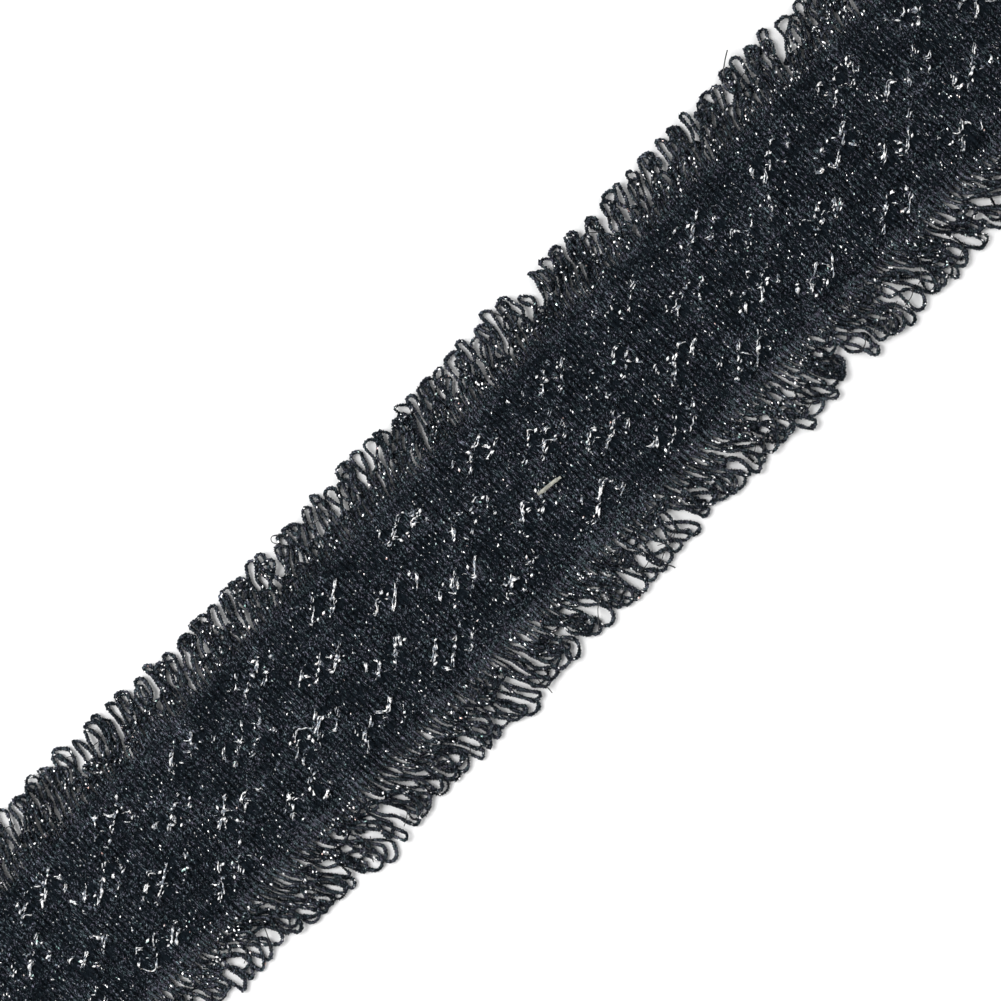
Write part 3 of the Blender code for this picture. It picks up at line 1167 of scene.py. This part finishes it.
class BRAID_TRIM_OT_film_flecks(bpy.types.Operator):
    """Bring up the flecks of metallised film from the yarn"""

    bl_idname = "braid_trim.film_flecks"
    bl_label = "Film Flecks"

    def execute(self, context):
        sizes = context.scene.braid_trim_sizes
        finish = ("silver_thread", metallised_film_fleck)
        draw = np.random.default_rng(61)
        bundle = Bundle()
        flecks = (sizes.rib_yarn, sizes.rib_flecks, sizes.fleck_length, BAND_FLECK_WIDE)
        scatter_flecks(
            bundle, draw, rib_centres(), *flecks, lambda at: draw.random(len(at)) < fleck_chance(at)
        )
        add_knots(bundle, draw, sizes.knot_length)
        bundle.make_piece("film_flecks_band", *finish, smooth=False)
        flecks = (sizes.loop_yarn, sizes.loop_flecks, sizes.loop_fleck_length, LOOP_FLECK_WIDE)
        for word in FRINGES:
            bundle = Bundle()
            for loops in fringe_centres(word).values():
                scatter_flecks(bundle, draw, loops, *flecks, out_in_the_loops)
            bundle.make_piece(f"film_flecks_{word}", *finish, smooth=False)
        return {"FINISHED"}


# The filament that ties the loops: share of loops it crosses, how many rings back from the
# tip it does so on one leg, and how many more or fewer on the other
TIED_SHARE = 0.45
TIED_BACK = (13, 26)
TIED_ASKEW = (-5, 6)
# How far it goes on past both legs as a share of the way between them, and its points
TIED_SPARE = (0.15, 0.55)
TIED_POINTS = 9
# How far it bows out and the pace of that, and how high it lies on the loops, with its
# waves in height and their pace
TIED_BOW = 0.25 * MM
TIED_BOW_PACE = 3
TIED_LIFT = 0.30 * MM
TIED_WAVE = 0.1 * MM
TIED_WAVE_PACE = 4
# Filament that has come free: its thickness, and points in mm that it goes through
STRAY_FILAMENTS = (
    (0.20 * MM, ((72.6, 23.6, 1.1), (73.4, 24.6, 1.3), (74.6, 25.5, 1.5), (75.9, 26.3, 1.6))),
    (
        0.15 * MM,
        (
            (-29.1, 20.6, 0.9), (-29.7, 21.8, 1.1), (-30.1, 22.7, 1.2), (-29.8, 23.3, 1.2),
            (-29.2, 23.3, 1.2), (-28.5, 22.7, 1.2), (-28.0, 22.0, 1.1), (-28.1, 20.9, 0.9),
        ),
    ),
    (0.16 * MM, ((-29.4, 23.35, 1.3), (-28.9, 22.9, 1.3), (-29.0, 22.3, 1.2))),
    (0.20 * MM, ((20.4, 24.0, 1.0), (20.3, 23.3, 1.1), (20.7, 22.6, 1.1), (20.9, 21.6, 1.0))),
    (0.16 * MM, ((-15.9, -22.0, 1.0), (-16.0, -23.4, 1.3), (-15.8, -24.6, 1.3), (-15.9, -25.6, 1.0))),
    (0.22 * MM, ((11.3, -24.2, 1.0), (11.7, -24.9, 1.1), (11.9, -25.5, 1.0))),
    (0.12 * MM, ((12.4, -21.0, 1.5), (13.6, -21.5, 1.6), (15.0, -21.4, 1.6), (16.6, -21.1, 1.5))),
    (0.12 * MM, ((-0.4, -20.4, 1.5), (0.7, -20.7, 1.6), (1.6, -21.3, 1.6), (2.4, -21.4, 1.4))),
)
STRAY_POINTS = 40


class BRAID_TRIM_OT_filaments(bpy.types.Operator):
    """Cross the loops with the fine filament that ties them, and leave a few stray ends"""

    bl_idname = "braid_trim.filaments"
    bl_label = "Filaments"

    def execute(self, context):
        thickness = context.scene.braid_trim_sizes.hair
        finish = ("loop_yarn", black_nylon_filament)
        for word, plan in FRINGES.items():
            draw = np.random.default_rng(plan["seed"] + 2)
            loops = fringe_centres(word)["outer"]
            tip = loops.shape[1] // 2
            lines = []
            for loop in loops:
                if draw.random() > TIED_SHARE:
                    continue
                back = int(draw.integers(*TIED_BACK))
                one = loop[tip - back]
                other = loop[tip + back + int(draw.integers(*TIED_ASKEW))]
                spare = draw.uniform(*TIED_SPARE)
                share = np.linspace(-spare, 1 + spare, TIED_POINTS)
                line = one + (other - one) * share[:, None]
                bow = np.sin(share * TIED_BOW_PACE + draw.uniform(0, TIED_BOW_PACE))
                line[:, 1] += plan["side"] * TIED_BOW * bow
                line[:, 2] += TIED_LIFT + TIED_WAVE * np.cos(share * TIED_WAVE_PACE)
                lines.append(line)
            bundle = Bundle()
            bundle.add_tubes(flat_strips(np.array(lines), thickness, thickness, 0.0))
            bundle.make_piece(f"tying_filaments_{word}", *finish)
        bundle = Bundle()
        for thickness, points in STRAY_FILAMENTS:
            line = smooth_path(MM * np.array(points)[None], STRAY_POINTS)
            bundle.add_tubes(flat_strips(line, thickness, thickness, 0.0))
        bundle.make_piece("stray_filaments", *finish)
        return {"FINISHED"}


# The pale end of film: its middle, half length and angle to the trim, how far it bows and
# how far its ends sag, its width and the share that it loses at its ends, spread of that
# width, its thickness and its roll
PALE_MIDDLE = (7.1 * MM, -2.15 * MM, 1.75 * MM)
PALE_HALF_LENGTH = 2.3 * MM
PALE_ANGLE = math.radians(-9.0)
PALE_BOW = 0.06 * MM
PALE_SAG = 0.14 * MM
PALE_WIDTH = 0.58 * MM
PALE_TAPER = 0.3
PALE_WORN = 0.12
PALE_THICKNESS = 0.12 * MM
PALE_ROLL = 0.15
PALE_POINTS = 28


class BRAID_TRIM_OT_pale_end(bpy.types.Operator):
    """Lay the one pale end of film that has come loose on the band"""

    bl_idname = "braid_trim.pale_end"
    bl_label = "Pale Film End"

    def execute(self, context):
        draw = np.random.default_rng(1)
        share = np.linspace(-1.0, 1.0, PALE_POINTS)
        x, y, z = PALE_MIDDLE
        x = x + PALE_HALF_LENGTH * share * math.cos(PALE_ANGLE)
        y = y + PALE_HALF_LENGTH * share * math.sin(PALE_ANGLE) + PALE_BOW * np.sin(3 * share)
        z = z - PALE_SAG * share**2
        width = PALE_WIDTH * (1 - PALE_TAPER * share**6)
        width = width * (1 + draw.normal(0.0, PALE_WORN, (1, PALE_POINTS)))
        line = np.stack([x, y, z], axis=-1)[None]
        bundle = Bundle()
        bundle.add_tubes(flat_strips(line, width, PALE_THICKNESS, PALE_ROLL))
        bundle.make_piece("pale_film_end", "silver_thread", pale_polyester_film_back)
        return {"FINISHED"}


# The ground cloth: height of its flat upper side, height of the ribs of its under side, its
# steps along the trim to a rib, and its lines along the trim
GROUND_TOP = 0.98 * MM
GROUND_RIB = 0.14 * MM
GROUND_STEPS_PER_RIB = 3
GROUND_LINES = 13


class BRAID_TRIM_OT_ground_cloth(bpy.types.Operator):
    bl_idname = "braid_trim.ground_cloth"
    bl_label = "Ground Cloth"

    def execute(self, context):
        x = rib_x(np.arange(RIB_COUNT * GROUND_STEPS_PER_RIB + 1) / GROUND_STEPS_PER_RIB)
        x = x[:, None]
        across = np.linspace(-1.0, 1.0, GROUND_LINES)
        low, high = outline("lower_edge", x), outline("upper_edge", x)
        y = np.where(across < 0, low * across, high * across)
        x = np.broadcast_to(x, y.shape)
        ridge = GROUND_RIB * 0.5 * (1 - np.cos(TURN * x / RIB_PITCH + math.pi))
        height = GROUND_TOP + OVALS["hollow"]["rise"] * oval_share("hollow", x, y)
        top = np.stack([x, y, height], axis=-1)
        under = np.stack([x, y, LOWEST + GROUND_RIB - ridge], axis=-1)
        section = np.concatenate([top[:, ::-1], under], axis=1)[None]
        bundle = Bundle()
        bundle.add_tubes(section)
        surface = twisted_black_viscose
        cloth = bundle.make_piece("ground_cloth", "band_yarn", surface, banded=True)
        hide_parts("woven_band")
        return {"FINISHED"}


# The camera looks straight down; the trim rises to the right by this angle in the picture
TRIM_ANGLE = math.radians(45.3)
PICTURE_WIDTH = 158.9 * MM
PICTURE_CENTRE = (0.0, 1.67 * MM)
LENS = 100.0
SENSOR = 36.0
FLOOR_SIZE = 3.0
# Soft boxes: place in the picture's own directions from its middle, size and power
SOFT_BOXES = {
    "key_box": {"place": (-0.42, 0.04, 0.50), "size": 0.40, "power": 4.2},
    "side_box": {"place": (0.40, 0.25, 0.50), "size": 0.20, "power": 0.4},
}
# The picture's directions, as a spot that points are turned into
PICTURE_TURN = {"x": 0.0, "y": 0.0, "turn": -TRIM_ANGLE}
# Strength of the light tent, and the heights of view between which it gives way to its
# opening
TENT_STRENGTH = 1.25
TENT_TOP = 0.62
TENT_OPEN = 0.84


class BRAID_TRIM_OT_stage(bpy.types.Operator):
    """Set the pale floor, the soft lights and the camera"""

    bl_idname = "braid_trim.stage"
    bl_label = "Stage"

    def execute(self, context):
        scene = context.scene
        colours = scene.braid_trim_colours
        x = TRIM_ORIGIN[0] + PICTURE_CENTRE[0]
        y = TRIM_ORIGIN[1] + PICTURE_CENTRE[1]

        bpy.ops.mesh.primitive_plane_add(size=FLOOR_SIZE, location=(0.0, 0.0, 0.0))
        floor = context.object
        floor.name = "floor"
        floor.data.materials.append(material_of(matt_white_card))

        camera = bpy.data.objects.new("camera", bpy.data.cameras.new("camera"))
        camera.data.lens = LENS
        camera.data.sensor_width = SENSOR
        camera.data.clip_start = 0.01
        camera.location = (x, y, PICTURE_WIDTH * LENS / SENSOR)
        camera.rotation_euler = (0.0, 0.0, -TRIM_ANGLE)
        scene.collection.objects.link(camera)
        scene.camera = camera

        for name, box in SOFT_BOXES.items():
            light = bpy.data.lights.new(name, "AREA")
            light.shape = "SQUARE"
            light.size = box["size"]
            light.energy = box["power"]
            lamp = bpy.data.objects.new(name, light)
            where = turned_into_place(PICTURE_TURN, *np.array(box["place"]))
            lamp.location = where + (x, y, 0.0)
            lamp.rotation_mode = "QUATERNION"
            lamp.rotation_quaternion = Vector(-unit(where)).to_track_quat("-Z", "Y")
            scene.collection.objects.link(lamp)

        # A light tent, white all round and open to a dim room straight above
        world = bpy.data.worlds.new("light_tent")
        world.use_nodes = True
        tree = world.node_tree
        tree.nodes.clear()
        direction = add_node(tree, "TexCoord", "Generated")
        height = add_node(tree, "SeparateXYZ", "Z", {"Vector": direction})
        stops = ((0.0, colours.tent), (TENT_TOP, colours.tent), (TENT_OPEN, colours.tent_opening))
        tent = add_node(tree, "ValToRGB", "Color", {"Fac": height}, stops)
        light = {"Color": tent, "Strength": TENT_STRENGTH}
        light = add_node(tree, "Background", "Background", light)
        add_node(tree, "OutputWorld", None, {"Surface": light})
        scene.world = world
        scene.view_settings.view_transform = "Standard"
        return {"FINISHED"}


OPERATORS = (
    BRAID_TRIM_OT_stage,
    BRAID_TRIM_OT_rib_yarns,
    BRAID_TRIM_OT_loop_fringes,
    BRAID_TRIM_OT_silver_motifs,
    BRAID_TRIM_OT_film_flecks,
    BRAID_TRIM_OT_filaments,
    BRAID_TRIM_OT_pale_end,
    BRAID_TRIM_OT_ground_cloth,
)


class BRAID_TRIM_PT_sidebar(bpy.types.Panel):
    bl_label = "Braid Trim"
    bl_idname = "BRAID_TRIM_PT_sidebar"
    bl_space_type = "VIEW_3D"
    bl_region_type = "UI"
    bl_category = "Braid Trim"

    def draw(self, context):
        layout = self.layout
        for group in (context.scene.braid_trim_sizes, context.scene.braid_trim_colours):
            box = layout.box()
            for name in group.__annotations__:
                box.prop(group, name)
        for operator in OPERATORS:
            layout.operator(operator.bl_idname)


CLASSES = (BraidTrimColours, BraidTrimSizes, *OPERATORS, BRAID_TRIM_PT_sidebar)


def register():
    for cls in CLASSES:
        bpy.utils.register_class(cls)
    bpy.types.Scene.braid_trim_sizes = bpy.props.PointerProperty(type=BraidTrimSizes)
    bpy.types.Scene.braid_trim_colours = bpy.props.PointerProperty(type=BraidTrimColours)


def unregister():
    del bpy.types.Scene.braid_trim_colours
    del bpy.types.Scene.braid_trim_sizes
    for cls in reversed(CLASSES):
        bpy.utils.unregister_class(cls)


def main():
    register()
    bpy.ops.braid_trim.stage()
    bpy.ops.braid_trim.rib_yarns()
    bpy.ops.braid_trim.loop_fringes()
    bpy.ops.braid_trim.silver_motifs()
    bpy.ops.braid_trim.film_flecks()
    bpy.ops.braid_trim.filaments()
    bpy.ops.braid_trim.pale_end()
    bpy.ops.braid_trim.ground_cloth()
    bpy.context.view_layer.update()


if __name__ == "__main__":
    main()
